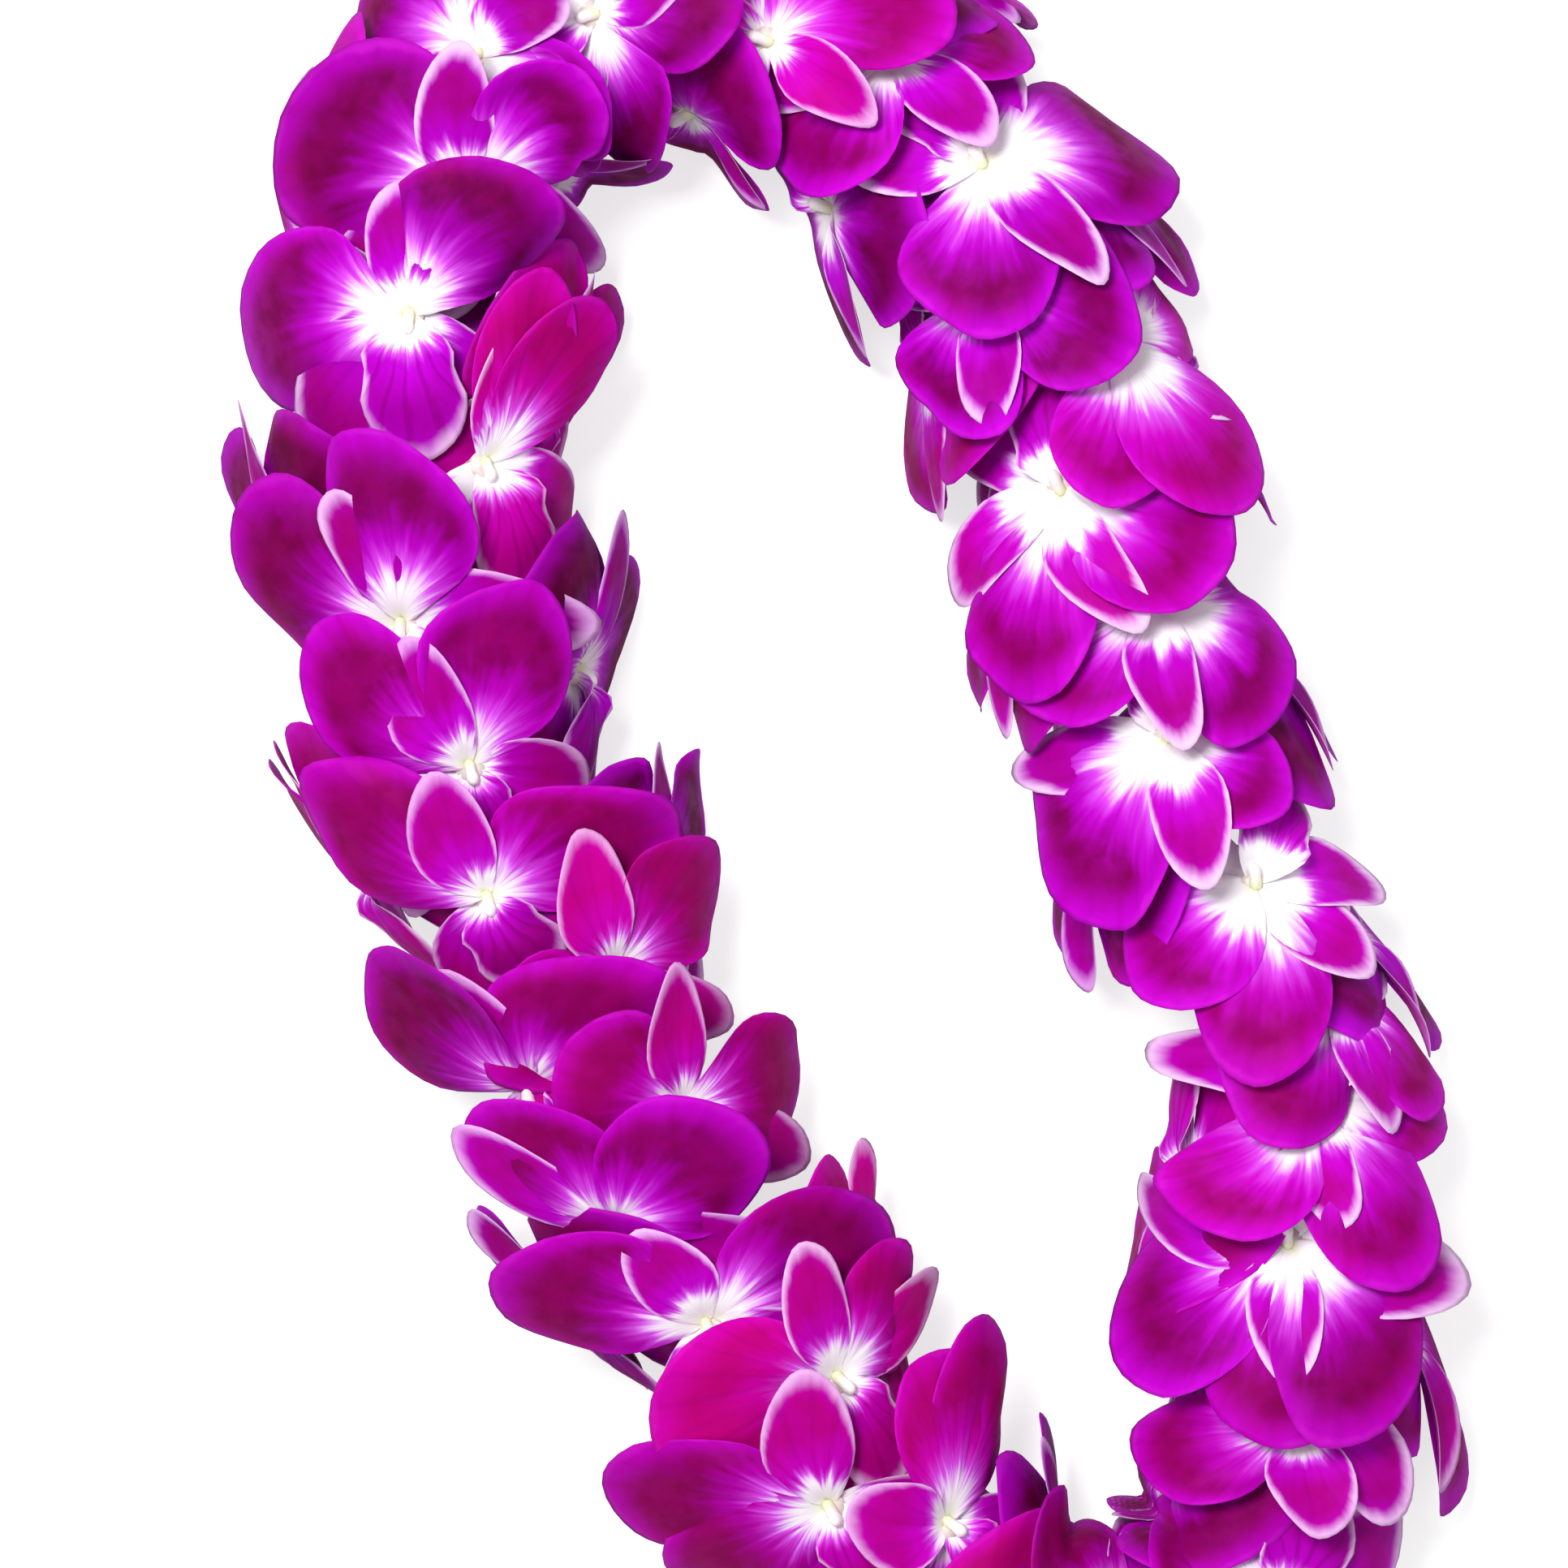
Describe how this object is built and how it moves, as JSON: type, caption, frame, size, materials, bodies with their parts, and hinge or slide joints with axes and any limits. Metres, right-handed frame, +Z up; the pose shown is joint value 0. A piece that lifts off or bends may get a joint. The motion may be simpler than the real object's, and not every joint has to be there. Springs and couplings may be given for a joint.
{
  "type": "flower lei",
  "caption": "Closed garland of magenta and white orchid blossoms threaded on a cotton string, petals overlapping like shingles, lying flat.",
  "frame": {"origin": "centre of the footprint on the surface the lei lies on", "axes": "+Z up, +Y along the long axis of the ring, +X across it; blossoms face counter-clockwise seen from +Z"},
  "size_m": [0.2596, 0.5038, 0.0662],
  "materials": {
    "orchid_tepal": "soft velvety fresh petal, deep magenta with violet and white at the base",
    "cotton_thread": "twisted pale cotton thread, faintly stained pink"
  },
  "bodies": {
    "root": {"blossom_01": "orchid_tepal", "blossom_02": "orchid_tepal", "blossom_03": "orchid_tepal", "blossom_04": "orchid_tepal", "blossom_05": "orchid_tepal", "blossom_06": "orchid_tepal", "blossom_07": "orchid_tepal", "blossom_08": "orchid_tepal", "blossom_09": "orchid_tepal", "blossom_10": "orchid_tepal", "blossom_11": "orchid_tepal", "blossom_12": "orchid_tepal", "blossom_13": "orchid_tepal", "blossom_14": "orchid_tepal", "blossom_15": "orchid_tepal", "blossom_16": "orchid_tepal", "blossom_17": "orchid_tepal", "blossom_18": "orchid_tepal", "blossom_19": "orchid_tepal", "blossom_20": "orchid_tepal", "blossom_21": "orchid_tepal", "blossom_22": "orchid_tepal", "blossom_23": "orchid_tepal", "blossom_24": "orchid_tepal", "blossom_25": "orchid_tepal", "blossom_26": "orchid_tepal", "blossom_27": "orchid_tepal", "blossom_28": "orchid_tepal", "blossom_29": "orchid_tepal", "blossom_30": "orchid_tepal", "blossom_31": "orchid_tepal", "blossom_32": "orchid_tepal", "blossom_33": "orchid_tepal", "blossom_34": "orchid_tepal", "blossom_35": "orchid_tepal", "blossom_36": "orchid_tepal", "blossom_37": "orchid_tepal", "blossom_38": "orchid_tepal", "blossom_39": "orchid_tepal", "blossom_40": "orchid_tepal", "blossom_41": "orchid_tepal", "blossom_42": "orchid_tepal", "blossom_43": "orchid_tepal", "blossom_44": "orchid_tepal", "blossom_45": "orchid_tepal", "blossom_46": "orchid_tepal", "blossom_47": "orchid_tepal", "blossom_48": "orchid_tepal", "blossom_49": "orchid_tepal", "blossom_50": "orchid_tepal", "blossom_51": "orchid_tepal", "blossom_52": "orchid_tepal", "blossom_53": "orchid_tepal", "blossom_54": "orchid_tepal", "blossom_55": "orchid_tepal", "blossom_56": "orchid_tepal", "blossom_57": "orchid_tepal", "blossom_58": "orchid_tepal", "thread": "cotton_thread"}
  },
  "joints": []
}
